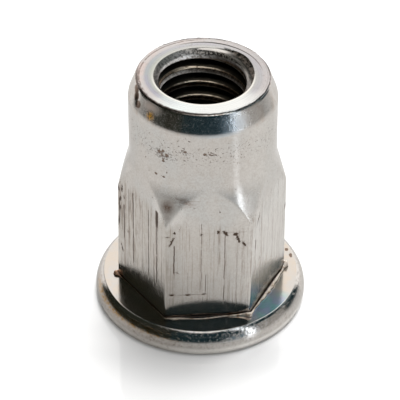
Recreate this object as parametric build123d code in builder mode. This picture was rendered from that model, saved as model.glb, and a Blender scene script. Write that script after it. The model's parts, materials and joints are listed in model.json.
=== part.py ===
"""Half-hexagon rivet nut, M6, with an open end and a flat head. One piece of stainless steel.

The nut stands on the underside of its flange: z = 0 is that face, the bore runs along +Z and the
open threaded end is at the top. A flat of the hexagon faces -Y. All sizes are in millimetres.
"""

import os
from math import radians, sqrt, tan

from build123d import *

# Overall
overall_length = 16.15

# Hexagon body, which stops the nut from turning in its hexagonal hole
hex_hole_across_flats = 9.0
hex_hole_clearance = 0.04
hex_top_height = 8.4
hex_corner_radius = 0.18

# Round shank above the hexagon, and the transition between the two
shank_relief = 0.03
transition_length = 2.55
neck_radius = 4.0
shoulder_radius = 1.6

# Tapered lead at the open end
lead_length = 1.25
lead_width = 0.5
lead_blend_radius = 1.0
end_edge_radius = 0.06

# Flange, upset by a heading tool, so its side bulges outwards
flange_diameter = 13.13
flange_thickness = 1.5
flange_rim_inset = 0.445
flange_widest_height = 0.465
flange_bottom_radius = 0.15
flange_rim_radius = 0.05
foot_radius = 0.12

# Thread: M6 x 1, drawn as a bore through its crests, which are cut near the top of their tolerance
thread_diameter = 6.0
thread_crest_depth = 0.44
thread_length = 8.0
mouth_clearance = 0.05

# Pull bore, from the flange to the thread, whose thin wall folds when the nut is set
pull_wall = 0.98
pull_step_half_angle = 60.0
pull_mouth_chamfer = 0.2

# Sizes that follow from the ones above
hex_across_flats = hex_hole_across_flats - hex_hole_clearance
hex_apothem = hex_across_flats / 2
hex_corner_reach = hex_across_flats / sqrt(3)
shank_radius = hex_apothem - shank_relief
neck_height = hex_top_height + transition_length
lead_start_height = overall_length - lead_length
end_face_radius = shank_radius - lead_width

flange_radius = flange_diameter / 2
rim_radius = flange_radius - flange_rim_inset
rim_rise = flange_thickness - flange_widest_height
side_radius = (flange_rim_inset**2 + rim_rise**2) / (2 * flange_rim_inset)
side_centre = flange_radius - side_radius
underside_radius = side_centre + sqrt(side_radius**2 - flange_widest_height**2)

crest_radius = thread_diameter / 2 - thread_crest_depth
mouth_radius = thread_diameter / 2 + mouth_clearance / 2
mouth_depth = mouth_radius - crest_radius
pull_radius = hex_apothem - pull_wall
pull_step_height = (pull_radius - crest_radius) / tan(radians(pull_step_half_angle))
thread_start_height = overall_length - thread_length

os.makedirs("parts", exist_ok=True)

with BuildPart() as rivet_nut:
    # Turned form of the body: hexagon corners, cone, round shank and tapered lead
    with BuildSketch(Plane.XZ):
        with BuildLine():
            Polyline(
                (0, 0),
                (hex_corner_reach, 0),
                (hex_corner_reach, hex_top_height),
                (shank_radius, neck_height),
                (shank_radius, lead_start_height),
                (end_face_radius, overall_length),
                (0, overall_length),
                close=True,
            )
        turned_form = make_face()
        turned_corners = turned_form.vertices()
        fillet(turned_corners.filter_by_position(Axis.Y, hex_top_height, hex_top_height), shoulder_radius)
        fillet(turned_corners.filter_by_position(Axis.Y, neck_height, neck_height), neck_radius)
        fillet(turned_corners.filter_by_position(Axis.Y, lead_start_height, lead_start_height), lead_blend_radius)
    revolve(axis=Axis.Z)

    # Flats, pressed on the turned form: each one dies out in an arch on the cone
    with BuildSketch():
        RegularPolygon(radius=hex_apothem, side_count=6, major_radius=False)
        fillet(vertices(), hex_corner_radius)
    extrude(amount=overall_length, mode=Mode.INTERSECT)

    # Flange with its bulging side
    with BuildSketch(Plane.XZ):
        with BuildLine():
            Line((0, 0), (underside_radius, 0))
            ThreePointArc(
                (underside_radius, 0),
                (flange_radius, flange_widest_height),
                (rim_radius, flange_thickness),
            )
            Polyline((rim_radius, flange_thickness), (0, flange_thickness), (0, 0))
        make_face()
    revolve(axis=Axis.Z)

    # Edges of the flange, the root of the hexagon and the edge of the open end
    flange_top = rivet_nut.faces().filter_by(Axis.Z).group_by(Axis.Z)[1].sort_by(SortBy.AREA)[-1]
    fillet(flange_top.outer_wire().edges(), flange_rim_radius)
    flange_top = rivet_nut.faces().filter_by(Axis.Z).group_by(Axis.Z)[1].sort_by(SortBy.AREA)[-1]
    fillet(flange_top.inner_wires()[0].edges(), foot_radius)
    underside = rivet_nut.faces().filter_by(Axis.Z).sort_by(Axis.Z)[0]
    fillet(underside.edges(), flange_bottom_radius)
    end_face = rivet_nut.faces().filter_by(Axis.Z).sort_by(Axis.Z)[-1]
    fillet(end_face.edges(), end_edge_radius)

    # Stepped bore: chamfered pull bore, cone, crests of the thread and its countersunk mouth
    with BuildSketch(Plane.XZ):
        with BuildLine():
            Polyline(
                (0, 0),
                (pull_radius + pull_mouth_chamfer, 0),
                (pull_radius, pull_mouth_chamfer),
                (pull_radius, thread_start_height - pull_step_height),
                (crest_radius, thread_start_height),
                (crest_radius, overall_length - mouth_depth),
                (mouth_radius, overall_length),
                (0, overall_length),
                close=True,
            )
        make_face()
    revolve(axis=Axis.Z, mode=Mode.SUBTRACT)

rivet_nut.part.label = "rivet_nut"
export_step(rivet_nut.part, "parts/rivet_nut.step")
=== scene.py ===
"""Looks of the half-hexagon M6 rivet nut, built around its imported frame.

The nut is one piece. Its skin is a set of closed rings of points. They run from the mouth of the
bore out over the end face, down the outside, under the flange and up the pull bore, and a helical
thread closes the skin between the two. Lengths are in millimetres and angles in degrees, z = 0 is
the underside of the flange, and a flat of the hexagon faces -Y.
"""

import functools
import json
from math import acos, asin, atan, ceil, cos, pi, radians, sin, sqrt, tan

import bmesh
import bpy
import numpy as np
from mathutils import Matrix, Vector


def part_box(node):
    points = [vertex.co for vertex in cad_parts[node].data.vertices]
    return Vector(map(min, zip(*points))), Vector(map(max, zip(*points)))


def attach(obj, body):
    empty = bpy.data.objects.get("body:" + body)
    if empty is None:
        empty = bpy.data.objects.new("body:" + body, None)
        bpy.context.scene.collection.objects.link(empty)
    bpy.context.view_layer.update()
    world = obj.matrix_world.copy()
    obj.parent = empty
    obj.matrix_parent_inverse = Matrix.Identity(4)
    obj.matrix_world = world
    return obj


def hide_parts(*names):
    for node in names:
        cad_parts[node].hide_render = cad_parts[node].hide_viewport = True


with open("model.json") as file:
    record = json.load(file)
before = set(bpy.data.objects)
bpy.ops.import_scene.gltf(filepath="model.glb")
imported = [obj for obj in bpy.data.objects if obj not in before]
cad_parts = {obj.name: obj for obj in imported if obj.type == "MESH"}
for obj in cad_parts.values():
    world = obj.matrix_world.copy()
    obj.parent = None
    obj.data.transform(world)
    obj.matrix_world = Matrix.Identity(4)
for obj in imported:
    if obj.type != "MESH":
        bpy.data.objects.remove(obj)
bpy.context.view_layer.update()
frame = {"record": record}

MM = 0.001
NODE = "rivet_nut"
MOUNTS = {mount["name"]: mount for mount in frame["record"]["mounts"]}


def bore_span(name):
    """Heights of the lower and the upper end of a bore that the frame states."""
    middle = MOUNTS[name]["pos_m"][2] / MM
    half = MOUNTS[name]["dims"]["length_mm"] / 2
    return middle - half, middle + half


# Sizes taken from the frame; the flange keeps a little inside its box
BOX_CLEARANCE = 0.004
BOX_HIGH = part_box(NODE)[1] / MM
LENGTH = BOX_HIGH.z
FLANGE_RADIUS = BOX_HIGH.x - BOX_CLEARANCE
FLANGE_THICKNESS = MOUNTS["flange_bearing_face"]["pos_m"][2] / MM
CREST_RADIUS = MOUNTS["thread"]["dims"]["r_mm"]
THREAD_BOTTOM = bore_span("thread")[0]
PULL_RADIUS = MOUNTS["pull_bore"]["dims"]["r_mm"]
PULL_BOTTOM, PULL_TOP = bore_span("pull_bore")

# Hexagon, round shank and lead
APOTHEM = 4.48
HEX_CORNER_RADIUS = 0.18
HEX_TOP = 8.25
HEXAGON_SHIFT = (0.03, -0.15)
NECK_HEIGHT = 10.95
SHANK_RADIUS = 4.45
LEAD_HEIGHT = 14.9
LEAD_TOP = LENGTH - 0.165
LEAD_TOP_RADIUS = 4.008
SHOULDER_ROUNDING = 1.6
NECK_ROUNDING = 4.0
LEAD_ROUNDING = 1.0
FLAT_EDGE_ROUNDING = 0.035

# The turned form stands outside the flats' corners, more so at its foot, just above the flange
CORNER_REACH = 2 * APOTHEM / sqrt(3)
SHOULDER_REACH = CORNER_REACH + 0.02
FOOT_REACH = CORNER_REACH + 0.11
FOOT_GAP = 0.1

# Longest steps between the rings of the lead, of the cone and elsewhere on the body
LEAD_STEP = 0.09
CONE_STEP = 0.07
LONG_STEP = 0.3

# Flange
RIM_INSET = 0.445
WIDEST_HEIGHT = 0.465
RIM_ROUNDING = 0.075
UNDERSIDE_ROUNDING = 0.15

# Open end: the face lies a little below the burr round its edge
BURR_HEIGHT = 0.03
FACE = LENGTH - BURR_HEIGHT
MOUTH_RADIUS = 2.955
EDGE_BREAK = 0.02
EDGE_WEAR = 0.06

# Turned face with its groove: (radius, depth below the face)
END_FACE_FORM = [
    (3.18, 0.0), (3.26, 0.001), (3.34, 0.0), (3.43, 0.0), (3.48, 0.002), (3.505, 0.016),
    (3.53, 0.024), (3.55, 0.012), (3.57, 0.0), (3.62, -0.001), (3.70, 0.002),
]

# Torn edge of the face, above it where the depth is below 0: (radius, depth, how ragged)
TORN_EDGE_FORM = [
    (3.78, 0.004, 0.0), (3.83, 0.004, 0.0), (3.855, -0.006, 0.4), (3.875, -0.014, 0.8),
    (3.892, -0.016, 1.0), (3.902, -0.008, 1.0), (3.906, 0.012, 1.0), (3.905, 0.034, 1.0),
    (3.91, 0.052, 0.7), (3.93, 0.068, 0.3), (3.965, 0.094, 0.0), (3.99, 0.115, 0.0),
]

# Root of the hexagon and the torn flash round it: (distance out, height above the flange, share
# of the flash's own spread in it)
FLASH_FORM = [
    (0.0, 0.07, 0), (0.0, 0.035, 0), (0.01, 0.03, 0), (0.04, 0.01, 0), (0.05, 0.008, 0.1),
    (0.055, 0.008, 0.92), (0.07, 0.03, 1), (0.10, 0.10, 1), (0.14, 0.15, 1), (0.18, 0.14, 1),
    (0.21, 0.12, 1), (0.25, 0.15, 1), (0.29, 0.12, 1), (0.32, 0.05, 1), (0.34, 0.006, 1),
    (0.345, 0.0, 1),
]
ROOT_RINGS = 4

# Where the flash is larger, taller and further out: (angle, width in radians, amount)
FLASH_SIZE = [
    (333, 0.42, 0.74), (291, 0.10, 0.35), (299, 0.07, 0.6),
    (246, 0.10, 0.2), (0, 0.055, 0.65), (181, 0.05, 0.85),
]
FLASH_LUMPS = [(0, 0.06, 1.6), (297, 0.10, 0.8), (181, 0.05, 0.6)]
FLASH_SPREAD = [(265, 0.26, 0.18), (0, 0.06, -0.13)]

# The hexagon's growth towards its foot, at the two corners beside the front, in the same form
FOOT_SWELL = [(0, 0.2, 0.07), (180, 0.2, 0.04)]
END_SWELL = 0.11

# Where the burr is higher, the groove deeper, the mouth run out and the first thread broken out
BURR_ANGLE = 100
GROOVE_ANGLE = 62
RUN_OUT_ANGLE = 80
BREAK_OUT_ANGLE = 46

# Gouge in the lead: angle at the open end, slant in degrees per millimetre down, and depth
GOUGE_ANGLE = 194
GOUGE_SLANT = 7
GOUGE_DEPTH = 0.075

# Seeds of the random variation round the axis
FLASH_SEED = 3
BURR_SEED = 11
RAGGED_SEED = 12

# Thread, cut from just above the cone below it to just below the face. Its form is given over
# one pitch, upwards from the lower edge of the crest, as (height, depth behind the crest). The
# lower edge of the first crest is CREST_EDGE_DEPTH below the end of the nut at the back.
PITCH = 1.0
CREST_EDGE_DEPTH = 0.575
CUT_LOW = PULL_TOP + 0.02
CUT_HIGH = FACE - EDGE_BREAK
THREAD_FORM = [
    (0.0, 0.035), (0.015, 0.008), (0.035, 0.0), (0.07, 0.012), (0.11, 0.04), (0.18, 0.05),
    (0.25, 0.042), (0.30, 0.014), (0.33, 0.002), (0.355, 0.004), (0.38, 0.03), (0.42, 0.095),
    (0.50, 0.225), (0.58, 0.36), (0.65, 0.475), (0.68, 0.5), (0.73, 0.5), (0.78, 0.45),
    (0.86, 0.29), (0.95, 0.12),
]

# Points round one side of the hexagon
FLAT_COLUMNS = 36
CORNER_COLUMNS = 6
SIDES = 6


# ---- Shape helpers


def column_angles():
    """Angles of the skin's columns, even along the flats and closer round the corners."""
    corner_start = atan((APOTHEM - HEX_CORNER_RADIUS) * tan(pi / 6) / APOTHEM)
    flat = np.arctan(np.linspace(-tan(corner_start), tan(corner_start), FLAT_COLUMNS))
    corner = np.linspace(corner_start, pi / 3 - corner_start, CORNER_COLUMNS + 2)[1:-1]
    side = np.concatenate([flat, corner])
    middles = pi / 6 + pi / 3 * np.arange(SIDES)
    return (middles[:, None] + side[None, :]).ravel()


ANGLES = column_angles()
COLUMNS = len(ANGLES)


def hexagon_reach(offset=0.0):
    """Distance from the axis to a hexagon with rounded corners, pushed outwards by offset."""
    apothem = APOTHEM + offset
    rounding = HEX_CORNER_RADIUS + offset
    from_corner = np.abs((ANGLES + pi / 6) % (pi / 3) - pi / 6)
    centre = (apothem - rounding) / cos(pi / 6)
    inside = np.maximum(rounding**2 - (centre * np.sin(from_corner)) ** 2, 0)
    arc = centre * np.cos(from_corner) + np.sqrt(inside)
    flat = apothem / np.cos(pi / 6 - from_corner)
    arc_half = pi / 6 - atan((apothem - rounding) * tan(pi / 6) / apothem)
    return np.where(from_corner < arc_half, arc, flat)


def soft_minimum(first, second, width):
    """The smaller of two radii, rounded over where they are closer than width."""
    share = np.clip(0.5 + 0.5 * (second - first) / width, 0, 1)
    return second + (first - second) * share - width * share * (1 - share)


def rounded_path(corners, step):
    """Points along straight runs whose corners (radius, height, rounding) are arcs."""
    points = [np.array(corners[0][:2], float)]
    for before, here, after in zip(corners, corners[1:], corners[2:]):
        corner = np.array(here[:2], float)
        towards = np.array(before[:2], float) - corner
        away = np.array(after[:2], float) - corner
        towards /= np.linalg.norm(towards)
        away /= np.linalg.norm(away)
        half = acos(np.clip(towards @ away, -1, 1)) / 2
        reach = here[2] / tan(half)
        bisector = (towards + away) / np.linalg.norm(towards + away)
        centre = corner + bisector * here[2] / sin(half)
        start = corner + towards * reach
        end = corner + away * reach
        count = max(3, ceil(here[2] * (pi - 2 * half) / step))
        for share in np.linspace(0, 1, count + 1):
            point = start + (end - start) * share - centre
            points.append(centre + point / np.linalg.norm(point) * here[2])
    points.append(np.array(corners[-1][:2], float))
    return points


def spaced(points, step_at):
    """The same path with long runs divided, so that no step is longer than step_at(height)."""
    filled = [points[0]]
    for end in points[1:]:
        while np.linalg.norm(end - filled[-1]) > 1.5 * step_at(filled[-1][1]):
            along = (end - filled[-1]) / np.linalg.norm(end - filled[-1])
            filled.append(filled[-1] + along * step_at(filled[-1][1]))
        filled.append(end)
    return filled


def bell(value, centre, width):
    """A smooth bump of height 1 round centre."""
    return np.exp(-(((value - centre) / width) ** 2))


def bump_at(angle, width):
    """A smooth bump of height 1 round one angle, with its width in radians."""
    apart = (ANGLES - radians(angle) + pi) % (2 * pi) - pi
    return bell(apart, 0, width)


def bumps(table):
    """The sum of the bumps (angle, width in radians, amount) of a table."""
    return sum(amount * bump_at(angle, width) for angle, width, amount in table)


def ripple(seed, waves, low):
    """Smooth random variation round the axis, between about -1 and 1."""
    draw = np.random.default_rng(seed)
    total = np.zeros(COLUMNS)
    for wave in range(low, low + waves):
        total += draw.normal() * np.cos(wave * ANGLES + draw.uniform(0, 2 * pi))
    return total / sqrt(waves)


def round_ring(radius, height):
    """One closed ring of points about the axis."""
    return np.column_stack([radius * np.cos(ANGLES), radius * np.sin(ANGLES), height + 0 * ANGLES])


def arc_rings(centre, height, rounding, leans, squeeze=1.0):
    """Rings along an arc. Its leans are counted up from the horizontal, in radians."""
    out = rounding * squeeze
    return [round_ring(centre + out * cos(lean), height + rounding * sin(lean)) for lean in leans]


# ---- The nut's skin


def shifted_ring(reach, height):
    """A ring of the body. The die stood a little off the axis, so the hexagon does too."""
    rise = np.clip((height - NECK_HEIGHT + 0.8) / (LEAD_HEIGHT - NECK_HEIGHT + 0.5), 0, 1)
    share = 1 - rise * rise * (3 - 2 * rise)
    return round_ring(reach, height) + share * np.array([*HEXAGON_SHIFT, 0])


def end_swell():
    """The open end is spread a little towards the back."""
    return END_SWELL * np.clip(np.sin(ANGLES) / 0.9, 0, 1)


def end_face_rings():
    """From the mouth to the lead: the turned face with its groove, a torn burr and a small step."""
    mouth = edge_radius(CUT_HIGH)
    burr = 0.5 + 0.5 * np.tanh(1.5 * ripple(BURR_SEED, 60, 8)) + 0.5 * bump_at(BURR_ANGLE, 0.8)
    ragged = 0.016 * ripple(RAGGED_SEED, 70, 15)
    run_out = bump_at(RUN_OUT_ANGLE, 0.5)
    rings = [
        round_ring(mouth + 0.007 + 0.06 * run_out, FACE - 0.006 - 0.002 * run_out),
        round_ring(mouth + 0.02 + 0.13 * run_out, FACE),
    ]
    cut = 0.12 + 0.88 * bump_at(GROOVE_ANGLE, 0.75)
    for place, (radius, depth) in enumerate(END_FACE_FORM):
        rings.append(round_ring(np.maximum(radius, mouth + 0.08 + 0.025 * place), FACE - depth * cut))
    for radius, depth, loose in TORN_EDGE_FORM:
        sink = depth * burr if depth < 0 else depth
        rings.append(round_ring(radius + end_swell() + loose * ragged, FACE - sink))
    return rings


def body_step(height):
    """Longest step between the body's rings at one height."""
    if height > LEAD_HEIGHT - 0.3:
        return LEAD_STEP
    if NECK_HEIGHT + 0.7 > height > HEX_TOP - 0.2:
        return CONE_STEP
    return LONG_STEP


def gouge(down):
    """Depth of the gouge in the lead, at one distance below the open end."""
    return GOUGE_DEPTH * bump_at(GOUGE_ANGLE + GOUGE_SLANT * down, 0.045) * bell(down, 0.55, 0.38)


def body_rings():
    """Lead, round shank, cone and hexagon, down to just above the flange."""
    corners = [
        (LEAD_TOP_RADIUS, LEAD_TOP, 0),
        (SHANK_RADIUS, LEAD_HEIGHT, LEAD_ROUNDING),
        (SHANK_RADIUS, NECK_HEIGHT, NECK_ROUNDING),
        (SHOULDER_REACH, HEX_TOP, SHOULDER_ROUNDING),
        (FOOT_REACH, FLANGE_THICKNESS + FOOT_GAP, 0),
    ]
    path = spaced(rounded_path(corners, CONE_STEP), body_step)
    rings = []
    for radius, height in path:
        grown = np.clip((HEX_TOP - height) / (HEX_TOP - FLANGE_THICKNESS), 0, 1)
        spread = np.clip((height - LEAD_HEIGHT) / (LENGTH - LEAD_HEIGHT - 0.2), 0, 1)
        hexagon = hexagon_reach() + bumps(FOOT_SWELL) * grown
        reach = soft_minimum(hexagon, radius, FLAT_EDGE_ROUNDING)
        rings.append(shifted_ring(reach - gouge(LENGTH - height) + end_swell() * spread, height))
    lead = sum(height > LEAD_HEIGHT - 0.15 for _, height in path)
    return rings[:lead], rings[lead:]


def foot_rings():
    """The root of the hexagon, with the thin torn flash that the heading die leaves round it."""
    size = 0.2 + bumps(FLASH_SIZE)
    size *= np.clip(1 + 0.13 * ripple(FLASH_SEED, 50, 30), 0.5, 1.5)
    lump = 1 + bumps(FLASH_LUMPS)
    spread = bumps(FLASH_SPREAD)
    outwards = (hexagon_reach(0.3) - hexagon_reach()) / 0.3
    rings = []
    for offset, rise, share in FLASH_FORM:
        reach = hexagon_reach() + bumps(FOOT_SWELL) + outwards * (offset * size + share * spread)
        ring = shifted_ring(reach, FLANGE_THICKNESS)
        ring[:, 2] += rise * (size * lump if offset > 0 else 1)
        rings.append(ring)
    return rings


def flange_top_rings(inner):
    """The bearing face, from the flash's foot out to the rim."""
    rim = round_ring(FLANGE_RADIUS - RIM_INSET - RIM_ROUNDING, FLANGE_THICKNESS)
    return [inner + (rim - inner) * share for share in (0.03, 0.12, 0.3, 0.5, 0.7, 0.88, 0.96, 1)]


def flange_side_rings():
    """The rim and the upset side, which bulges in one arc, down to the underside."""
    rise = FLANGE_THICKNESS - WIDEST_HEIGHT
    bulge = (RIM_INSET**2 + rise**2) / (2 * RIM_INSET)
    centre = FLANGE_RADIUS - bulge
    rim = FLANGE_RADIUS - RIM_INSET - RIM_ROUNDING
    top = asin((rise - 1.1 * RIM_ROUNDING) / bulge)
    bottom = -asin((WIDEST_HEIGHT - UNDERSIDE_ROUNDING) / bulge)
    edge = centre + bulge * cos(bottom) - UNDERSIDE_ROUNDING
    rim_leans = np.radians((80, 66, 56, 51, 47))
    edge_leans = -np.radians((15, 35, 55, 75, 90))
    return [
        *arc_rings(rim, FLANGE_THICKNESS - RIM_ROUNDING, RIM_ROUNDING, rim_leans, 0.95),
        *arc_rings(centre, WIDEST_HEIGHT, bulge, np.linspace(top, bottom, 26)),
        *arc_rings(edge, UNDERSIDE_ROUNDING, UNDERSIDE_ROUNDING, edge_leans),
    ]


def underside_rings():
    """The flat underside, from the rounded edge in to the pull bore."""
    edge = FLANGE_RADIUS - UNDERSIDE_ROUNDING - 0.06
    mouth = PULL_RADIUS + PULL_BOTTOM
    return [round_ring(mouth + (edge - mouth) * share, 0) for share in (0.97, 0.8, 0.55, 0.3, 0.1, 0.01)]


def pull_bore_rings():
    """Chamfered mouth, plain wall and the cone up to the thread."""
    profile = [(PULL_RADIUS + PULL_BOTTOM - 0.02, 0.02), (PULL_RADIUS + 0.02, PULL_BOTTOM - 0.02)]
    profile += [(PULL_RADIUS, height) for height in np.linspace(PULL_BOTTOM + 0.02, PULL_TOP - 0.03, 9)]
    profile += [(PULL_RADIUS - 0.006, PULL_TOP - 0.008)]
    return [round_ring(radius, height) for radius, height in profile]


def cone_radius(height):
    """Radius of the countersink at the open end or of the cone below the thread, whichever is wider."""
    slope = (PULL_RADIUS - CREST_RADIUS) / (THREAD_BOTTOM - PULL_TOP)
    return np.maximum(MOUTH_RADIUS - (FACE - height), CREST_RADIUS + (THREAD_BOTTOM - height) * slope)


def bore_radius(angle, height, cut):
    """Radius of the bore where the thread is cut this deep behind its crest, or that of a wider cone."""
    torn = 0.44 * bell(angle, radians(BREAK_OUT_ANGLE), 0.45) * np.clip((height - FACE + 0.32) / 0.25, 0, 1)
    return -soft_minimum(-CREST_RADIUS - cut * (1 + torn), -cone_radius(height), EDGE_WEAR)


def edge_radius(height):
    """Radius of the bore round one level: thread, countersink or cone, whichever is wider."""
    turned = (ANGLES - pi / 2) / (2 * pi)
    phase = ((height - LENGTH + CREST_EDGE_DEPTH) / PITCH - turned) % 1
    form = np.array(THREAD_FORM + [(1.0, THREAD_FORM[0][1])])
    return bore_radius(ANGLES, height, np.interp(phase, form[:, 0], form[:, 1]))


def thread_points():
    """A helical ribbon, one pitch high: rows across the thread form, columns along the helix."""
    first_edge = LENGTH - CREST_EDGE_DEPTH
    turns_down = ceil((first_edge - CUT_LOW) / PITCH) + 2
    columns = np.arange((turns_down + 4) * COLUMNS)
    angle = ANGLES[columns % COLUMNS]
    turned = columns // COLUMNS - turns_down + (angle - pi / 2) / (2 * pi)
    at_low, at_high = edge_radius(CUT_LOW)[columns % COLUMNS], edge_radius(CUT_HIGH)[columns % COLUMNS]
    rows = []
    for phase, cut in THREAD_FORM:
        height = first_edge + (turned + phase) * PITCH
        radius = bore_radius(angle, height, cut)
        radius = np.where(height <= CUT_LOW, at_low, np.where(height >= CUT_HIGH, at_high, radius))
        height = np.clip(height, CUT_LOW, CUT_HIGH)
        rows.append(np.column_stack([radius * np.cos(angle), radius * np.sin(angle), height]))
    return np.stack(rows, axis=1)


def skin_rings():
    """The rings in order, and the finish of the band that leads to each ring after the first."""
    lead, body = body_rings()
    foot = foot_rings()
    sections = [
        (end_face_rings(), "end_face"),
        (lead, "lead"),
        (body + foot[:ROOT_RINGS], "body"),
        (foot[ROOT_RINGS:-1], "flash"),
        ([foot[-1]] + flange_top_rings(foot[-1]), "flange_top"),
        (flange_side_rings(), "flange_side"),
        (underside_rings(), "underside"),
        (pull_bore_rings() + [round_ring(edge_radius(CUT_LOW), CUT_LOW)], "pull_bore"),
    ]
    rings = [round_ring(edge_radius(CUT_HIGH), CUT_HIGH)]
    finishes = []
    for section, finish in sections:
        rings += section
        finishes += [finish] * len(section)
    return rings, finishes


def band_faces(bands):
    """Faces of the bands between neighbouring rings, one group for each band."""
    here = np.arange(COLUMNS)
    beside = (here + 1) % COLUMNS
    starts = [band * COLUMNS for band in range(bands + 1)]
    return [
        np.column_stack([upper + here, lower + here, lower + beside, upper + beside])
        for upper, lower in zip(starts, starts[1:])
    ]


def thread_faces(first, columns, rows):
    """Faces of the helical ribbon. Its last row meets the first row of the next turn up."""
    along = np.arange(columns - COLUMNS - 1)
    groups = []
    for row in range(rows):
        here = first + along * rows + row
        above = here + 1 if row < rows - 1 else first + (along + COLUMNS) * rows
        groups.append(np.column_stack([here, above, above + rows, here + rows]))
    return groups


def placed(name, data):
    """A new object in the scene that shows a mesh, a lamp or a camera."""
    thing = bpy.data.objects.new(name, data)
    bpy.context.scene.collection.objects.link(thing)
    return thing


def build_nut():
    """One closed mesh from the rings and the helical thread."""
    rings, finishes = skin_rings()
    ribbon = thread_points()
    columns, rows = ribbon.shape[:2]
    points = np.concatenate(rings + [ribbon.reshape(-1, 3)]) * MM
    groups = band_faces(len(finishes)) + thread_faces(len(rings) * COLUMNS, columns, rows)
    finishes += ["thread"] * rows
    names = sorted(set(finishes))

    mesh = bpy.data.meshes.new("nut_skin")
    mesh.from_pydata(points.tolist(), [], np.concatenate(groups).tolist())
    slots = [names.index(finish) for finish, group in zip(finishes, groups) for _ in group]
    mesh.polygons.foreach_set("material_index", slots)
    for name in names:
        mesh.materials.append(material(*FINISHES[name]))
    work = bmesh.new()
    work.from_mesh(mesh)
    bmesh.ops.remove_doubles(work, verts=work.verts, dist=2e-8)
    bmesh.ops.recalc_face_normals(work, faces=work.faces)
    for face in work.faces:
        face.smooth = True
    work.to_mesh(mesh)
    work.free()
    return placed("steel_nut", mesh)


# ---- Shader maths


class Wire:
    """An output socket on which sums and products of single values can be written."""

    def __init__(self, tree, socket):
        self.tree = tree
        self.socket = socket

    def maths(self, operation, first, second=0.0):
        """A new value made from one or two others."""
        return self.tree.node("ShaderNodeMath", {"operation": operation}, {0: first, 1: second})

    def __add__(self, other):
        return self.maths("ADD", self, other)

    def __radd__(self, other):
        return self.maths("ADD", other, self)

    def __sub__(self, other):
        return self.maths("SUBTRACT", self, other)

    def __rsub__(self, other):
        return self.maths("SUBTRACT", other, self)

    def __mul__(self, other):
        return self.maths("MULTIPLY", self, other)

    def __rmul__(self, other):
        return self.maths("MULTIPLY", other, self)

    def __truediv__(self, other):
        return self.maths("DIVIDE", self, other)

    def __pow__(self, other):
        return self.maths("POWER", self, other)

    def __abs__(self):
        return self.maths("ABSOLUTE", self)

    def above(self, low, high):
        """0 up to low and 1 from high on, smooth between. Falls instead where high is below low."""
        sockets = {"Value": self, "From Min": low, "From Max": high}
        return self.tree.node("ShaderNodeMapRange", {"interpolation_type": "SMOOTHSTEP"}, sockets)

    def most(self, other):
        """The larger of two values."""
        return self.maths("MAXIMUM", self, other)


def strongest(wires):
    """The largest of several values."""
    return functools.reduce(Wire.most, wires)


class Tree:
    """The node tree of one finish, of a card or of the world. Colours are (red, green, blue)."""

    def __init__(self, owner):
        owner.use_nodes = True
        self.nodes = owner.node_tree.nodes
        self.links = owner.node_tree.links
        self.nodes.clear()

    def node(self, kind, settings=None, sockets=None, output=0):
        """Adds a node, sets it up, then fills or links its sockets, and returns one output."""
        made = self.nodes.new(kind)
        for name, setting in (settings or {}).items():
            setattr(made, name, setting)
        for name, value in (sockets or {}).items():
            socket = made.inputs[name]
            if isinstance(value, Wire):
                self.links.new(value.socket, socket)
            else:
                socket.default_value = (*value, 1.0) if socket.type == "RGBA" else value
        return Wire(self, made.outputs[output]) if len(made.outputs) else None

    def vector(self, operation, first, second, output="Vector"):
        """Sum, difference, product or length of vectors."""
        return self.node("ShaderNodeVectorMath", {"operation": operation}, {0: first, 1: second}, output)

    def place(self):
        """Position on the nut, in millimetres."""
        return self.vector("MULTIPLY", self.node("ShaderNodeTexCoord", output="Object"), (1 / MM,) * 3)

    def axes(self):
        """The three parts of the position, in millimetres."""
        place = self.place()
        return [self.node("ShaderNodeSeparateXYZ", None, {0: place}, name) for name in "XYZ"]

    def noise(self, scale, detail=2.0, roughness=0.5, shift=0.0):
        """Noise between 0 and 1, with scale the changes per millimetre, one for all axes or one for each."""
        scale = scale if isinstance(scale, tuple) else (scale,) * 3
        moved = self.vector("ADD", self.vector("MULTIPLY", self.place(), scale), (shift,) * 3)
        sockets = {"Vector": moved, "Scale": 1.0, "Detail": detail, "Roughness": roughness}
        return self.node("ShaderNodeTexNoise", None, sockets)

    def rings(self, radius, scale):
        """Noise that changes only with the distance from the axis."""
        sockets = {"W": radius * scale, "Scale": 1.0, "Detail": 3.0}
        return self.node("ShaderNodeTexNoise", {"noise_dimensions": "1D"}, sockets)

    def spot(self, place, size, power=1.0):
        """1 at a place (angle, radius, height) of the nut and 0 at size (along X, Y, Z) away from it."""
        angle, radius, height = radians(place[0]), place[1], place[2]
        centre = (radius * cos(angle), radius * sin(angle), height)
        apart = self.vector("SUBTRACT", self.place(), centre)
        apart = self.vector("MULTIPLY", apart, tuple(1 / part for part in size))
        return self.vector("LENGTH", apart, (0, 0, 0), "Value").above(1.0, 0.0) ** power

    def mix(self, share, first, second):
        """Colour between first and second."""
        return self.node("ShaderNodeMix", {"data_type": "RGBA"}, {0: share, 6: first, 7: second}, 2)

    def painted(self, base, *coats):
        """Base with the coats (share, colour) laid over it in turn."""
        for share, paint in coats:
            base = self.mix(share, base, paint)
        return base

    def metal(self, base, roughness, relief, depth, **more):
        """Bare metal. A relief of 1 is depth millimetres high; more sockets by name, with underscores."""
        bump = self.node("ShaderNodeBump", None, {"Height": relief, "Distance": depth * MM, "Strength": 1.0})
        sockets = {
            "Base Color": base,
            "Metallic": 1.0,
            "Roughness": roughness,
            "Specular Tint": EDGE_TINT,
            "Normal": bump,
        }
        sockets.update({name.replace("_", " ").title(): value for name, value in more.items()})
        return self.node("ShaderNodeBsdfPrincipled", None, sockets)


def material(name, shader):
    """A material whose surface is what shader(tree) returns."""
    made = bpy.data.materials.new(name)
    tree = Tree(made)
    tree.node("ShaderNodeOutputMaterial", None, {"Surface": shader(tree)})
    return made


# ---- Finishes of the nut

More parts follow.
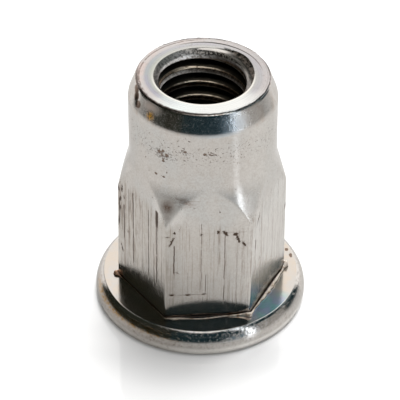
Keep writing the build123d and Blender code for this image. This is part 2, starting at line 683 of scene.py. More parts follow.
STEEL = (0.63, 0.60, 0.57)
COOL_STEEL = (0.60, 0.595, 0.58)
PAINTED_LIGHT_STEEL = (0.76, 0.735, 0.70)
EDGE_TINT = (0.80, 0.80, 0.80)
BROWN = (0.16, 0.105, 0.075)
SHADED_FLASH_BROWN = (0.30, 0.19, 0.12)
BURR_SHADE_DARK = (0.045, 0.038, 0.032)

FRONT_FACE, LEFT_FACE, RIGHT_FACE = 270, 210, 330

# Dark draw marks on each flat: (distance along it, top, bottom, half width, strength)
DRAW_MARKS = {
    FRONT_FACE: [
        (-2.04, 7.12, 4.72, 0.055, 0.85), (-0.40, 8.72, 3.42, 0.045, 0.55),
        (-0.13, 4.82, 3.12, 0.04, 0.6), (-1.31, 8.82, 6.12, 0.04, 0.3),
        (-1.22, 5.02, 3.12, 0.05, 0.35), (0.59, 8.02, 4.62, 0.035, 0.45),
        (1.00, 8.02, 2.52, 0.05, 0.6), (1.75, 7.72, 2.12, 0.06, 0.35),
    ],
    LEFT_FACE: [
        (1.83, 9.18, 7.85, 0.21, 1.0), (1.81, 8.53, 3.43, 0.06, 0.8),
        (1.48, 6.53, 3.23, 0.04, 0.55), (0.93, 8.73, 3.33, 0.06, 0.75),
        (0.28, 9.03, 3.13, 0.045, 0.4), (-0.73, 8.93, 3.43, 0.08, 0.75),
        (-1.21, 8.93, 6.43, 0.07, 0.5), (-1.72, 7.43, 4.63, 0.08, 0.75),
        (-2.22, 7.63, 5.43, 0.10, 0.8),
    ],
    RIGHT_FACE: [
        (-2.11, 6.93, 6.08, 0.075, 0.85), (-2.02, 5.23, 3.93, 0.05, 0.5),
    ],
}

# Dark nicks on each flat: (distance along it, height, half width, half height, lean, strength)
NICKS = {
    FRONT_FACE: [
        (-2.02, 8.08, 0.09, 0.12, 0.0, 0.9), (-2.17, 7.40, 0.08, 0.42, 0.35, 0.8),
        (-2.44, 7.78, 0.15, 0.07, 0.0, 0.6), (-1.67, 8.40, 0.05, 0.25, 0.35, 0.4),
        (-0.42, 7.86, 0.07, 0.12, 0.0, 0.7), (0.59, 8.00, 0.11, 0.16, 0.0, 0.9),
        (1.02, 7.90, 0.13, 0.24, -0.4, 0.95), (1.63, 7.80, 0.18, 0.14, 0.0, 0.9),
        (1.79, 7.44, 0.09, 0.36, -0.3, 0.95), (2.15, 7.04, 0.09, 0.22, -0.5, 0.85),
        (-1.83, 5.00, 0.13, 0.12, -0.6, 0.5), (-2.17, 3.28, 0.2, 0.1, 0.0, 0.75),
        (-1.19, 3.24, 0.2, 0.09, 0.0, 0.75), (-0.22, 3.25, 0.14, 0.08, 0.0, 0.6),
        (-1.17, 3.24, 1.2, 0.04, 0.0, 0.25), (1.23, 7.96, 1.35, 0.05, 0.0, 0.3),
    ],
    LEFT_FACE: [
        (-1.94, 8.53, 0.09, 0.35, 0.1, 0.9), (-2.12, 7.63, 0.1, 0.25, 0.1, 0.8),
        (-2.32, 8.35, 0.12, 0.30, -0.2, 0.8), (-1.72, 7.95, 0.08, 0.22, 0.0, 0.6),
        (-2.34, 5.75, 0.09, 0.40, 0.1, 0.7), (-1.30, 5.60, 0.10, 0.16, 0.0, 0.5),
        (-2.17, 6.88, 0.1, 0.3, 0.25, 0.9), (-1.97, 3.93, 0.09, 0.35, -0.4, 0.7),
    ],
    RIGHT_FACE: [
        (-1.79, 8.28, 0.06, 0.5, 0.45, 0.8), (2.31, 6.43, 0.09, 0.26, 0.3, 0.85),
        (-1.44, 4.99, 0.07, 0.16, 0.3, 0.5),
    ],
}

# Larger pits in the shank: (angle, height, half height)
PITS = [
    (228.0, 11.62, 0.17), (235.0, 11.62, 0.16), (237.5, 11.98, 0.12),
    (230.5, 13.28, 0.18), (234.0, 13.42, 0.14), (237.5, 13.20, 0.19),
    (234.5, 12.72, 0.14), (252.0, 13.72, 0.12), (266.5, 13.65, 0.14),
]

# Patches of the shank where its fine pits crowd: (angle, height, half width, half height, strength)
PITTED_PATCHES = [
    (234, 13.1, 0.8, 0.65, 1.0), (233, 11.75, 0.5, 0.35, 0.8), (271, 13.6, 0.8, 0.3, 0.9),
    (252, 13.6, 0.6, 0.3, 0.7), (60, 12.9, 1.4, 0.6, 0.8),
]


class Flat:
    """Coordinates on one flat of the hexagon."""

    def __init__(self, axes, angle):
        x, y, self.height = axes
        sine, cosine = sin(radians(angle)), cos(radians(angle))
        self.across = y * cosine - x * sine
        self.shown = (x * cosine + y * sine).above(APOTHEM - 0.25, APOTHEM - 0.08)

    def mark(self, wander, centre, top, bottom, width, strength):
        """A mark down the flat that wanders a little, is blunt at its top and fades out below."""
        side = abs(self.across + wander - centre).above(width, width * 0.25)
        ends = self.height.above(top + 0.06, top - 0.08) * self.height.above(bottom - 0.4, bottom + 0.5)
        return side * ends * strength

    def nick(self, wander, centre, middle, width, tall, lean, strength):
        """A short nick, leaning to the right as it rises where lean is above 0."""
        up = self.height - middle
        side = (self.across - centre - up * lean + wander) / width
        up = up / tall
        return (side * side + up * up).above(1.5, 0.0) * strength


def draw_damage(tree, axes):
    """All the dark marks that drawing has left on the three flats of the front half, 0 to 1."""
    wander = (tree.noise((1.0, 1.0, 1.3), 2.0, 0.6) - 0.5) * 0.12
    ragged = (tree.noise(7.0, 3.0, 0.75) - 0.5) * 0.36
    broken = tree.noise((3.0, 3.0, 1.1), 3.0, 0.65).above(0.18, 0.48)
    flats = []
    for angle in (FRONT_FACE, LEFT_FACE, RIGHT_FACE):
        flat = Flat(axes, angle)
        marks = [flat.mark(wander, *mark) * broken for mark in DRAW_MARKS[angle]]
        marks += [flat.nick(ragged, *nick) for nick in NICKS[angle]]
        flats.append(strongest(marks) * flat.shown)
    return strongest(flats)


def pitting(tree, axes):
    """Small dark pits in the round shank: a thin belt of them all round, thicker in patches."""
    height = axes[2]
    belt = height.above(12.2, 13.1) * height.above(14.5, 13.9)
    patch = strongest(
        tree.spot((angle, SHANK_RADIUS, middle), (wide, wide, tall)) * strength
        for angle, middle, wide, tall, strength in PITTED_PATCHES
    )
    coarse = tree.noise((3.6, 3.6, 4.4), 3.0, 0.6)
    fine = tree.noise((8.0, 8.0, 9.5), 3.0, 0.65, 3.0)
    large = (coarse + patch * 0.215).above(0.695, 0.755)
    small = (fine + belt * 0.10 + patch * 0.12).above(0.70, 0.77) * 0.75
    ragged = tree.noise(7.0, 3.0, 0.7, 9.0) - 0.5
    for angle, middle, size in PITS:
        pit = tree.spot((angle, SHANK_RADIUS, middle), (size * 1.3, size * 1.3, size))
        large = large.most((pit + ragged * 0.9).above(0.30, 0.55) * pit.above(0.0, 0.1))
    return large.most(small)


def draw_lines(tree, axes):
    """Fine dark lines down the flats where the metal was drawn through the die, 0 to 1."""
    thin = tree.noise((15.0, 15.0, 0.22), 3.0, 0.6).above(0.52, 0.68) * 0.45
    wide = tree.noise((5.0, 5.0, 0.12), 3.0, 0.6, 5.0).above(0.56, 0.66) * 0.5
    dashes = tree.noise((6.0, 6.0, 1.4), 3.0, 0.65, 8.0).above(0.25, 0.55)
    return thin.most(wide) * dashes * (axes[2] * 0.06 + 0.6)


def body_finish(tree):
    """Smooth, slightly pitted shank and cone; below them flats with draw marks down them."""
    axes = tree.axes()
    x, y, height = axes
    start = tree.noise((3.0, 3.0, 0.2), 2.0, 0.6) * 1.9 + 7.5 + abs(x).above(2.0, 3.2) * 0.8
    drawn = (height - start).above(0.35, -0.5)
    left = (x * 0.87 + y * 0.5).above(-3.4, -4.3) * drawn
    right = (x * 0.87 - y * 0.5).above(3.4, 4.3) * drawn
    grain = tree.noise(9.0, 3.0, 0.75)
    cloud = tree.noise((0.6, 0.6, 0.4))
    blotch = tree.noise((2.4, 2.4, 2.0), 3.0, 0.6, 6.0)

    damage = draw_damage(tree, axes)
    lines = draw_lines(tree, axes)
    smear = tree.noise((1.2, 1.2, 6.0), 3.0, 0.65, 7.0).above(0.42, 0.62)
    dark_reflection_patch = tree.spot((240.5, 4.95, 9.75), (0.7, 0.7, 0.8)) * 1.1
    dark_reflection_patch = dark_reflection_patch.most(tree.spot((241, 5.0, 9.2), (0.4, 0.4, 0.6)) * 0.5)
    dark_reflection_patch = dark_reflection_patch.most(tree.spot((250, 4.75, 10.25), (1.9, 1.2, 0.55)) * smear * 0.7)
    dark_reflection_patch = dark_reflection_patch * (0.15 + grain * 1.3)
    # Hollows of the cone beside the front flat: painted lighter below, and made rougher.
    hollow_painted_light = tree.spot((240, 4.95, 9.5), (1.3, 1.3, 1.3), 0.6)
    hollow_painted_light = hollow_painted_light.most(tree.spot((304, 4.95, 9.6), (0.9, 0.9, 1.2), 0.6))
    streak = tree.noise((4.5, 4.5, 0.35), 3.0, 0.7, 12.0).above(0.52, 0.60)
    streak = streak * left * y.above(-2.8, -1.5) * height.above(3.4, 4.6)
    stain_top = height + (tree.noise((9.0, 9.0, 0.4), 3.0, 0.6, 3.0) - 0.5) * 3.0
    lift = height - FLANGE_THICKNESS
    root = (lift.above(0.34, 0.16) * y.above(-4.3, -4.5)).most(lift.above(0.18, 0.08) * 0.8)
    base = tree.painted(
        tree.mix(cloud.above(0.35, 0.7), STEEL, COOL_STEEL),
        # Painted light: the right of the body is painted lighter.
        ((x * 0.94 - y * 0.34).above(2.6, 4.4) * 0.45, PAINTED_LIGHT_STEEL),
        (blotch.above(0.5, 0.68) * 0.25, (0.50, 0.45, 0.40)),
        (grain.above(0.36, 0.66) * 0.42, (0.42, 0.385, 0.35)),
        (drawn * (0.30 - right * 0.3), (0.57, 0.53, 0.485)),
        # Painted shade: the left flat is painted darker, in blotches.
        (left * (0.20 + blotch.above(0.4, 0.65) * 0.25), (0.42, 0.385, 0.34)),
        (lines * drawn * (1.15 + left * 0.45), (0.22, 0.165, 0.13)),
        (streak * 0.6, (0.17, 0.115, 0.08)),
        (right * stain_top.above(3.2, 1.9) * 0.4, (0.19, 0.22, 0.25)),
        # Painted light: the cone's hollows are painted lighter, less so on the right.
        (hollow_painted_light * (1 - drawn) * (0.65 - x.above(0, 1) * 0.5), (0.94, 0.91, 0.87)),
        # Painted dark reflection, brownish, in the left hollow of the cone.
        (dark_reflection_patch, (0.20, 0.13, 0.095)),
        # Painted shade where the hexagon meets the flange, taller on the front flat.
        (root * 0.9, (0.10, 0.075, 0.06)),
        (damage * 0.6, BROWN),
        (damage.above(0.35, 0.75), (0.085, 0.06, 0.045)),
    )

    pits = pitting(tree, axes) * (1 - drawn)
    smooth = tree.metal(
        tree.mix(pits * 0.9, base, BROWN),
        roughness=0.10 + grain * 0.10 + hollow_painted_light * 0.33,
        relief=grain * 0.2 + cloud * 0.4 - pits * 1.2,
        depth=0.010,
    )
    streaked = tree.metal(
        base,
        specular_tint=(1, 1, 1),
        roughness=0.15 + grain * 0.08 + damage * 0.25,
        anisotropic=0.6,
        relief=lines * -1.0 - damage * 1.4 + grain * 0.15,
        depth=0.010,
    )
    return tree.node("ShaderNodeMixShader", None, {0: drawn, 1: smooth, 2: streaked})


def lead_finish(tree):
    """Polished round lead with fine scratches, one yellow stain, a dirty gouge, grime beside it and a
    painted bluish reflection at the front.
    """
    grain = tree.noise(8.0, 3.0, 0.7)
    scratches = tree.noise((9.0, 9.0, 2.0), 3.0, 0.7)
    nicks = tree.noise((9.0, 9.0, 12.0), 3.0, 0.7, 4.0).above(0.58, 0.70)
    smear = tree.noise((2.0, 2.0, 0.5), 2.0, 0.6, 9.0).above(0.45, 0.65)
    ragged = (tree.noise(4.0, 2.0, 0.6) - 0.5) * 0.5
    bruised = tree.spot((298, 4.2, 15.4), (1.5, 1.5, 1.2), 0.7)
    blue = tree.spot((278, 4.2, 15.4), (1.9, 1.3, 1.4), 0.6)
    stain = tree.spot((219.5, 4.22, 15.28), (0.42, 0.42, 0.40), 0.7)
    amber = tree.mix(grain.above(0.46, 0.56), (0.95, 0.50, 0.06), (0.22, 0.10, 0.02))
    dirt = tree.spot((191, 4.05, 15.9), (0.35, 0.6, 0.4))
    dirt = dirt.most(tree.spot((195, 4.12, 15.6), (0.4, 0.45, 0.45)))
    dirt = dirt.most(tree.spot((202, 4.2, 15.35), (0.45, 0.5, 0.38)))
    dirt = (dirt + ragged).above(0.2, 0.5)
    grime = tree.spot((218, 4.1, 15.75), (1.1, 0.9, 0.5), 0.7) * (1 - dirt) * (1 - stain)
    base = tree.painted(
        STEEL,
        (grain.above(0.45, 0.7) * 0.3, (0.40, 0.36, 0.32)),
        (smear * 0.3, (0.42, 0.33, 0.26)),
        # Painted bluish reflection towards the front.
        (blue * 0.7, (0.52, 0.60, 0.66)),
        (stain, amber),
        (dirt * 0.95, BROWN),
        (grime * 0.8, (0.60, 0.50, 0.44)),
    )
    relief = grain * 0.35 + scratches * 0.35 + bruised * scratches * 2.4 + nicks * 0.3 + stain * grain * 5.0
    return tree.metal(
        base,
        metallic=1 - grime * 0.6,
        roughness=0.13 + grain * 0.10 + bruised * 0.12 + stain * 0.3,
        relief=relief,
        depth=0.007,
    )


def end_face_finish(tree):
    """Turned face, rosy outside and bluish inside, dirt in the groove; painted light at front and back,
    painted shade on the right and at the burr, painted highlight at the mouth.
    """
    x, y, height = tree.axes()
    radius = (x * x + y * y) ** 0.5
    rings = tree.rings(radius, 13.0)
    cloud = tree.noise(0.8)
    speck = tree.noise(6.0, 3.0, 0.7)
    ragged = tree.noise((5.0, 5.0, 8.0), 3.0, 0.65)
    # Where the front of the face is painted lighter: painted light.
    worn = (y + abs(x - 0.2) * 0.5 + (cloud - 0.5) * 1.4).above(0.4, -2.4)
    edge = radius.above(3.10, 3.02)
    groove = radius.above(3.485, 3.52) * radius.above(3.575, 3.54) * (x * 0.52 + y * 0.85).above(1.9, 2.9)
    second = radius.above(3.72, 3.76) * radius.above(3.85, 3.81) * (y * 0.6 - x * 0.8).above(1.6, 2.8)
    out = radius - (y / radius).above(0.0, 0.9) * 0.11
    burr_shade_line = out.above(3.86, 3.89) * y.above(-0.8, 0.8) * (ragged + x * 0.03).above(0.36, 0.46)
    down = FACE - height
    under = down.above(0.0, 0.02) * radius.above(3.7, 3.8) * down.above(0.08, 0.06)
    ledge = down.above(0.05, 0.07)
    chipped = (x * 0.8 + y * 0.6).above(-2.0, -3.0) * (radius + (ragged - 0.5) * 0.25).above(3.80, 3.86)
    inner = tree.mix(cloud.above(0.42, 0.6), (0.37, 0.39, 0.40), (0.37, 0.36, 0.41))
    inner = tree.mix(radius.above(3.32, 3.08) * 0.6, inner, (0.47, 0.48, 0.40))
    outer = tree.mix(cloud.above(0.38, 0.62), (0.59, 0.50, 0.47), (0.54, 0.505, 0.49))
    front_painted_light = tree.mix(x.above(-2.4, 0.4), (0.74, 0.79, 0.78), (0.76, 0.765, 0.745))
    base = tree.painted(
        tree.mix(radius.above(3.38, 3.62), inner, outer),
        # Painted shade darkens the right of the face, and painted light lightens its back.
        (x.above(0.0, 2.5) * 0.7, (0.46, 0.44, 0.44)),
        (y.above(1.0, 3.6) * 0.5, (0.58, 0.56, 0.55)),
        # Painted light: the front of the face is painted lighter.
        (worn, front_painted_light),
        ((rings - 0.3) * 0.35, (0.30, 0.27, 0.25)),
        (speck.above(0.55, 0.7) * 0.25 * (1 - worn), (0.22, 0.18, 0.16)),
        # Painted highlight along the mouth's edge, brighter at the front.
        (edge * (0.15 + y.above(0.6, -1.2) * 0.55), (0.86, 0.83, 0.76)),
        # Painted shade: a dark line along the back of the burr.
        (burr_shade_line * 0.92, (0.07, 0.055, 0.05)),
        (groove * 0.8, (0.13, 0.11, 0.10)),
        (second * ragged.above(0.34, 0.5) * 0.7, (0.19, 0.14, 0.12)),
        # Painted shade under the burr.
        (under * ragged.above(0.3, 0.48), BURR_SHADE_DARK),
        (ledge * ragged.above(0.5, 0.62) * 0.6, BROWN),
        (chipped * 0.8, (0.13, 0.10, 0.085)),
    )
    return tree.metal(
        base,
        roughness=0.16 + rings * 0.12,
        anisotropic=0.5,
        anisotropic_rotation=0.25,
        relief=rings + speck * 0.3,
        depth=0.006,
    )


def thread_finish(tree):
    """Cut thread: torn brown crests, painted shade in the grooves and deeper down, painted highlights on the
    lips and edges, a countersink painted in light and dark bands.
    """
    x, y, height = tree.axes()
    radius = (x * x + y * y) ** 0.5
    angle = y.maths("ARCTAN2", y, x)
    rise = (height - LENGTH + CREST_EDGE_DEPTH) / PITCH - (angle - pi / 2) / (2 * pi)
    phase = rise.maths("FRACT", rise)
    down = FACE - height
    past_cone = radius + down - MOUTH_RADIUS
    upper = down.above(0.60, 0.50)
    flank = phase.above(0.36, 0.40) * phase.above(0.56, 0.50) * upper
    groove = phase.above(0.39, 0.43) * past_cone.above(0.015, 0.045)
    on_cone = (down.above(0.57, 0.52) * (1 - groove)).most(flank)
    speckle = tree.noise((6.0, 6.0, 7.0), 3.0, 0.7)
    torn = tree.noise((3.0, 3.0, 12.0), 3.0, 0.65, 2.0)
    facing = (x * cos(radians(93)) + y * sin(radians(93))) / radius
    lit = facing.above(0.76, 0.93)
    left = x.above(0.5, -1.4)
    right = (x * 0.9 + y * 0.4).above(0.9, 2.2)
    beside = abs(x + 0.1).above(2.0, 2.5)
    first = down.above(1.92, 1.72) * down.above(0.87, 1.02)
    behind = (radius - left * first * 0.10).above(CREST_RADIUS + 0.03, CREST_RADIUS + 0.09)
    deep = down.above(1.07, 1.97)

    # Painted highlights on the crests' lower and upper lips, the upper ones brightest where lit, at the
    # back.
    low_lip_highlight = phase.above(0.12, 0.05) * torn.above(0.72, 0.5)
    top_lip_highlight = phase.above(0.28, 0.33) * torn.above(0.68, 0.5)
    worn = (phase + speckle * 0.2).above(0.46, 0.30)
    dusty = first * worn * (0.35 + left * 0.65) * (1 - behind)
    mouthed = down.above(0.4, 0.2) * speckle.above(0.42, 0.60) * 0.8
    crest = tree.painted(
        tree.mix(speckle.above(0.36, 0.6), (0.40, 0.28, 0.19), (0.11, 0.075, 0.05)),
        # Painted shade: crests deeper in the bore are darker.
        (deep * 0.55, (0.09, 0.055, 0.035)),
        (low_lip_highlight * (0.8 - deep * 0.5), (0.52, 0.54, 0.50)),
        (dusty, tree.mix(speckle.above(0.4, 0.6), (0.95, 0.93, 0.9), (0.5, 0.47, 0.44))),
        (top_lip_highlight * (lit * 0.9 + 0.1), (1.0, 0.86, 0.68)),
        # Painted shade behind the crests in the grooves, brown and speckled near the mouth.
        (behind, tree.mix(mouthed, (0.05, 0.045, 0.035), (0.42, 0.35, 0.30))),
    )

    # The countersink is painted in speckled bands, dark above and pale lower down, darker on the right and
    # at the sides: painted light and shade.
    dark = tree.painted(
        tree.mix((speckle - left * 0.05).above(0.40, 0.54), (0.56, 0.53, 0.49), (0.06, 0.055, 0.05)),
        (left * 0.3, (0.66, 0.63, 0.61)),
        (beside * (0.55 + speckle * 0.5), (0.08, 0.075, 0.07)),
    )
    light = tree.mix(speckle.above(0.44, 0.64), (0.95, 0.93, 0.90), (0.34, 0.30, 0.27))
    light = tree.mix(right.most(beside) * 0.8, light, (0.16, 0.14, 0.125))
    bands = down - (torn - 0.5) * 0.16 + left * 0.04
    lower = bands.above(0.27, 0.36)
    foot = bands.above(0.47, 0.52)
    edge = down.above(0.075, 0.03)
    countersink = tree.painted(
        tree.mix(lower, dark, light),
        (foot, (0.20, 0.13, 0.08)),
        # Painted highlight along the countersink's top edge, brighter at the front.
        (edge * (0.15 + y.above(0.6, -1.2) * 0.3), (0.75, 0.72, 0.62)),
    )

    brow_highlight = past_cone.above(0.012, 0.03) * past_cone.above(0.095, 0.06)
    brow_highlight = brow_highlight * phase.above(0.38, 0.42) * phase.above(0.66, 0.60) * upper
    start = down.above(0.16, 0.09) * phase.above(0.44, 0.47) * phase.above(0.60, 0.56)
    start = start * x.above(-0.3, 0.2) * x.above(2.3, 1.4)
    chalky = dusty.most(lower * on_cone * (0.72 - right * 0.3 - left * 0.15)).most(start * 0.8)
    base = tree.painted(
        crest,
        (on_cone, countersink),
        # Painted highlights where the cone meets the first groove and on the flank where the thread starts.
        (brow_highlight * (0.9 - right * 0.45), (0.95, 0.88, 0.80)),
        (start * 0.9, (0.97, 0.92, 0.86)),
    )
    return tree.metal(
        base,
        metallic=1 - chalky * 0.9,
        roughness=0.22 + speckle * 0.3 + dusty * 0.2,
        relief=speckle + torn * 0.6,
        depth=0.018,
    )


def pull_bore_finish(tree):
    """Drilled wall with faint feed marks."""
    marks = tree.noise((1.0, 1.0, 16.0))
    return tree.metal(
        tree.mix(marks, STEEL, (0.5, 0.47, 0.44)),
        roughness=0.26 + marks * 0.1,
        relief=marks,
        depth=0.01,
    )


def flash_finish(tree):
    """Torn flash at the foot of the hexagon: painted light in cream on the right and on lumps, painted shade
    in brown on the left and low on the right.
    """
    x, y, height = tree.axes()
    grain = tree.noise((5.0, 5.0, 6.0), 3.0, 0.65)
    left = (x * 0.5 + y * 0.866).above(-2.4, -3.0) * x.above(-2.3, -3.2)
    right = (x * 0.866 - y * 0.5).above(4.4, 4.6)
    lift = height - FLANGE_THICKNESS
    raised = lift.above(0.009, 0.02)
    crown = lift.above(0.04, 0.09).most(1 - right)
    # Painted light: cream lumps, and the crown of the flash on the right.
    cream_painted_light = tree.spot((299, 5.05, 1.65), (0.8, 0.6, 0.5)).most(tree.spot((0, 5.35, 1.7), (0.6, 0.6, 0.6)))
    cream_painted_light = cream_painted_light.above(0.05, 0.45).most(right * 0.5) * raised * crown
    root = tree.mix(right, (0.26, 0.24, 0.22), (0.11, 0.07, 0.05))
    rusty = tree.mix(grain.above(0.4, 0.6), (0.80, 0.50, 0.34), (0.26, 0.15, 0.09))
    # The bead is painted cream as painted light, and brown on the left and low on the right as painted
    # shade.
    bead = tree.painted(
        tree.mix(grain.above(0.48, 0.66), (1.0, 0.90, 0.78), (0.50, 0.34, 0.23)),
        (left * 0.85, SHADED_FLASH_BROWN),
        (x.above(-4.7, -5.1) * 0.9, rusty),
        (1 - crown, SHADED_FLASH_BROWN),
        (cream_painted_light * grain.above(0.64, 0.50), (0.98, 0.88, 0.78)),
    )
    return tree.metal(
        tree.mix(raised, root, bead),
        metallic=1 - cream_painted_light * 0.7,
        roughness=0.14 + raised * (0.08 + grain * 0.2),
        relief=grain * raised,
        depth=0.022,
    )


def flange_top_finish(tree):
    """Almost a mirror, warm, with a blue heat tint towards the front right and two brown specks."""
    cloud = tree.noise(1.1)
    tint = tree.noise(1.3, shift=4.0)
    ragged = tree.noise(6.0, 3.0, 0.7, 2.0) - 0.5
    patch = tree.spot((313, 5.6, FLANGE_THICKNESS), (2.0, 2.0, 1.0), 0.45)
    blues = tree.mix(tint.above(0.42, 0.58), (0.22, 0.50, 0.54), (0.30, 0.40, 0.58))
    specks = tree.spot((14.5, 5.80, FLANGE_THICKNESS), (0.20, 0.28, 0.3))
    specks = specks.most(tree.spot((8.5, 5.87, FLANGE_THICKNESS), (0.17, 0.42, 0.3)))
    specks = (specks + ragged * 1.3 * specks.above(0.0, 0.1)).above(0.28, 0.55)
    base = tree.painted(
        tree.mix(cloud.above(0.35, 0.65), (0.60, 0.53, 0.46), (0.57, 0.535, 0.50)),
        (patch * 0.9, blues),
        (specks * 0.9, BROWN),
    )
    return tree.metal(
        base,
        roughness=0.13 + cloud * 0.05,
        relief=tree.noise(5.0),
        depth=0.001,
    )


def flange_side_finish(tree):
    """Upset side with fine upright marks, small dents and rusty specks, painted lighter low down and with a
    painted highlight along the rim at the front.
    """
    x, y, height = tree.axes()
    fine = tree.noise((9.0, 9.0, 2.5), 3.0, 0.7)
    grain = tree.noise(7.0, 3.0, 0.75)
    knocked = tree.spot((286, 6.4, 0.95), (1.9, 1.9, 0.8)) * fine.above(0.53, 0.60)
    dents = tree.noise((6.0, 6.0, 8.0), 3.0, 0.7, 5.0).above(0.59, 0.67).most(knocked)
    dents = dents * (1 - x.above(-1.5, -4.5) * 0.8) * (1 - y.above(-3.5, -1.5) * 0.7)
    left = x.above(-0.8, -3.5) * y.above(1.0, -2.0)
    left_back = x.above(-4.8, -6.0) * y.above(-3.2, -1.6)
    shoulder = height.above(0.80, 1.0) * height.above(1.42, 1.2)
    rust = left * shoulder * grain.above(0.44, 0.54)
    low = height.above(0.62, 0.35)
    rim = (height - FLANGE_THICKNESS).above(-0.07, -0.03) * y.above(-2.5, -4.0)
    base = tree.painted(
        tree.mix(fine.above(0.45, 0.65) * 0.45, STEEL, (0.34, 0.30, 0.26)),
        # Painted light: the lower part of the side is painted lighter.
        (low, (1.0, 0.97, 0.93)),
        (left * 0.3, (0.42, 0.36, 0.30)),
        (left_back * 0.4, (0.40, 0.38, 0.36)),
        (rust * 0.9, (0.50, 0.29, 0.09)),
        ((grain + left * 0.04).above(0.60, 0.68) * 0.6, BROWN),
        # Painted highlight along the rim at the front.
        (rim * 0.7, (0.86, 0.84, 0.82)),
    )
    return tree.metal(
        base,
        roughness=0.09 + fine * 0.10 + low * 0.12,
        relief=fine * 0.5 + grain * 0.5 + dents + low * fine * 0.6,
        depth=0.006,
    )


def underside_finish(tree):
    """Flat turned underside."""
    x, y, _ = tree.axes()
    rings = tree.rings((x * x + y * y) ** 0.5, 9.0)
    return tree.metal(STEEL, roughness=0.24 + rings * 0.1, relief=rings, depth=0.01)


# Name and shader of the finish of each section of the skin
FINISHES = {
    "body": ("drawn_body", body_finish),
    "lead": ("scratched_lead", lead_finish),
    "end_face": ("turned_end", end_face_finish),
    "thread": ("cut_thread", thread_finish),
    "pull_bore": ("drilled_bore", pull_bore_finish),
    "flash": ("torn_flash", flash_finish),
    "flange_top": ("pressed_flange_face", flange_top_finish),
    "flange_side": ("upset_flange_side", flange_side_finish),
    "underside": ("pressed_underside", underside_finish),
}


# ---- Studio

CAMERA_AZIMUTH = -5.4
CAMERA_ELEVATION = 37.68
CAMERA_DISTANCE = 129.65
CAMERA_ROLL = 0.85
CAMERA_LENS = 190.4
CAMERA_AIM = (-0.09, 6.89)

# Studio sizes, in metres
FLOOR_REACH = 0.6
ROOM_DISTANCE = 0.42
FAR = 0.22
NEAR = 0.20

# Brightness of the world: for scattered light, and what it gains for the camera and in reflections
WORLD_LEVEL = 0.48
WORLD_GAIN = 0.87

# Light that the cards give: (colour, strength)
GLOWS = {
    "dark_room_right": ((0.34, 0.85, 1.05), 0.036),
    "dark_room_left": ((0.9, 1.0, 0.75), 0.028),
    "grey_side": ((0.8, 0.95, 1.0), 0.42),
    "dull_side": ((0.7, 0.95, 1.0), 0.16),
    "pale_side": ((1.0, 0.98, 0.94), 0.40),
    "dim_front": ((0.68, 0.90, 1.08), 0.24),
    "top_box_left": ((1.0, 0.95, 0.9), 1.1),
    "top_box_right": ((1.0, 0.97, 0.94), 1.9),
    "window_low": ((0.90, 0.97, 1.05), 3.6),
    "window_high": ((0.90, 0.97, 1.05), 3.3),
}

# Cards that show only in reflections: (name, azimuths, elevations, distance, glow)
CARDS = [
    ("dark_front", (-30, 126), (0, 24), ROOM_DISTANCE, "dark_room_right"),
    ("dark_front_high", (-30, 104), (24, 63), FAR, "dark_room_right"),
    ("dark_left", (-124, -30), (0, 24), ROOM_DISTANCE, "dark_room_left"),
    ("dark_left_high", (-152, -30), (24, 63), FAR, "dark_room_left"),
    ("dull_right", (104, 118), (24, 57), FAR, "dull_side"),
    ("grey_right", (118, 137), (24, 57), FAR, "grey_side"),
    ("dark_roof_front", (-180, 180), (79, 90), FAR, "dark_room_right"),
    ("dark_roof_back", (75, 285), (63, 79), FAR, "dark_room_right"),
    ("top_box_left", (-75, -20), (63, 79), FAR, "top_box_left"),
    ("top_box_right", (-20, 75), (63, 79), FAR, "top_box_right"),
    ("pale_right", (57, 96), (0, 12), NEAR, "pale_side"),
    ("pale_right_high", (62, 100), (12, 34), NEAR, "pale_side"),
    ("dim_front", (27, 48), (0, 12), NEAR, "dim_front"),
    ("window_strip_low", (48, 56), (0, 18), NEAR, "window_low"),
    ("window_strip", (48, 55.5), (18, 57), NEAR, "window_high"),
]


def direction(azimuth, elevation):
    """Unit vector towards a place round the nut; azimuth is counted to the camera's right."""
    turn = radians(azimuth + CAMERA_AZIMUTH)
    lift = radians(elevation)
    return Vector((sin(turn) * cos(lift), -cos(turn) * cos(lift), sin(lift)))


def place_camera():
    """A long lens, a little rolled, aimed just beside the middle of the nut."""
    back = direction(0, CAMERA_ELEVATION)
    aim = direction(90, 0) * CAMERA_AIM[0] + Vector((0, 0, CAMERA_AIM[1]))
    level = back.to_track_quat("Z", "Y").to_matrix().to_4x4()
    data = bpy.data.cameras.new("camera")
    data.lens = CAMERA_LENS
    data.sensor_width = 36.0
    data.clip_start = 0.005
    data.clip_end = 10.0
    camera = placed("camera", data)
    turn = level @ Matrix.Rotation(radians(CAMERA_ROLL), 4, "Z")
    camera.matrix_world = Matrix.Translation((aim + back * CAMERA_DISTANCE) * MM) @ turn
    bpy.context.scene.camera = camera


def staged(name, points, faces, finish):
    """A studio mesh, placed in the scene on its own, apart from the nut."""
    mesh = bpy.data.meshes.new(name)
    mesh.from_pydata(points, [], faces)
    mesh.materials.append(finish)
    thing = placed(name, mesh)
    return thing


def shell_card(name, azimuths, elevations, distance, finish):
    """A curved card that fills a stretch of directions round the nut and shows only in reflections."""
    across = np.linspace(*azimuths, 25)
    upward = np.linspace(*elevations, 13)
    points = [direction(azimuth, elevation) * distance for elevation in upward for azimuth in across]
    faces = []
    for row in range(len(upward) - 1):
        for column in range(len(across) - 1):
            corner = row * len(across) + column
            faces.append((corner, corner + 1, corner + 1 + len(across), corner + len(across)))
    card = staged(name, points, faces, finish)
    card.visible_camera = False
    card.visible_diffuse = False
    card.visible_shadow = False
    card.visible_transmission = False


def glow(name):
    """The material of a card that gives light."""
    paint, strength = GLOWS[name]
    sockets = {"Color": paint, "Strength": strength}
    return material(name, lambda tree: tree.node("ShaderNodeEmission", None, sockets))


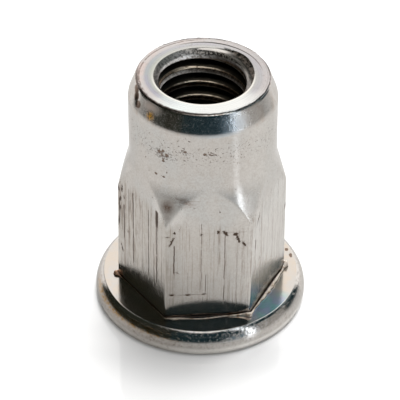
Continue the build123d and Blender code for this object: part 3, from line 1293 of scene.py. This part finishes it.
def table_finish(tree):
    """Polished white table with a painted shadow in front of the nut. Far from it the camera sees it matt.
    """
    seen = tree.node("ShaderNodeLightPath", output="Is Camera Ray")
    x, y, _ = tree.axes()
    radius = (x * x + y * y) ** 0.5
    # Painted shadow in front of the nut, stronger to its right.
    near = radius.above(10.5, 8.0) * y.above(-4.5, -6.5)
    shade = near * (0.10 + x.above(0.5, 3.5) * 0.10)
    shown = tree.mix(shade, (1.0, 1.0, 1.0), (0.15, 0.16, 0.18))
    paint = tree.mix(seen, (0.69, 0.685, 0.675), shown)
    polish = {"Base Color": paint, "Roughness": 0.04, "IOR": 1.55}
    polished = tree.node("ShaderNodeBsdfPrincipled", None, polish)
    matt = tree.node("ShaderNodeBsdfDiffuse", None, {"Color": paint})
    far = radius.above(12.0, 19.0) * seen
    return tree.node("ShaderNodeMixShader", None, {0: far, 1: polished, 2: matt})


def make_floor():
    """A square of the table."""
    reach = FLOOR_REACH
    corners = [(-reach, -reach, 0), (reach, -reach, 0), (reach, reach, 0), (-reach, reach, 0)]
    staged("floor", corners, [(0, 1, 2, 3)], material("white_table", table_finish))


def soft_lamp(name, azimuth, elevation, distance, size, radiance):
    """A square soft box that faces the nut, with the given brightness."""
    data = bpy.data.lights.new(name, "AREA")
    data.shape = "SQUARE"
    data.size = size
    data.energy = radiance * 4 * size * size
    lamp = placed(name, data)
    towards = direction(azimuth, elevation)
    lamp.location = towards * distance
    lamp.rotation_euler = towards.to_track_quat("Z", "Y").to_euler()
    lamp.visible_glossy = False


def make_world():
    """White all round for the camera and for reflections, and a plain level of light for the rest."""
    world = bpy.data.worlds.new("studio")
    bpy.context.scene.world = world
    tree = Tree(world)
    rays = ("Is Camera Ray", "Is Glossy Ray", "Is Transmission Ray")
    shown = strongest(tree.node("ShaderNodeLightPath", output=ray) for ray in rays)
    sockets = {"Color": (1.0, 0.99, 0.975), "Strength": WORLD_LEVEL + shown * WORLD_GAIN}
    light = tree.node("ShaderNodeBackground", None, sockets)
    tree.node("ShaderNodeOutputWorld", None, {"Surface": light})


def build_studio():
    """Camera, white surroundings, table, cards to be reflected and one lamp."""
    place_camera()
    make_world()
    make_floor()
    glows = {name: glow(name) for name in GLOWS}
    for name, azimuths, elevations, distance, light in CARDS:
        shell_card(name, azimuths, elevations, distance, glows[light])
    soft_lamp("top_light", azimuth=160, elevation=67, distance=0.6, size=0.36, radiance=7.8)


bpy.context.scene.view_settings.view_transform = "Standard"
nut = build_nut()
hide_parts(NODE)
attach(nut, "root")
build_studio()
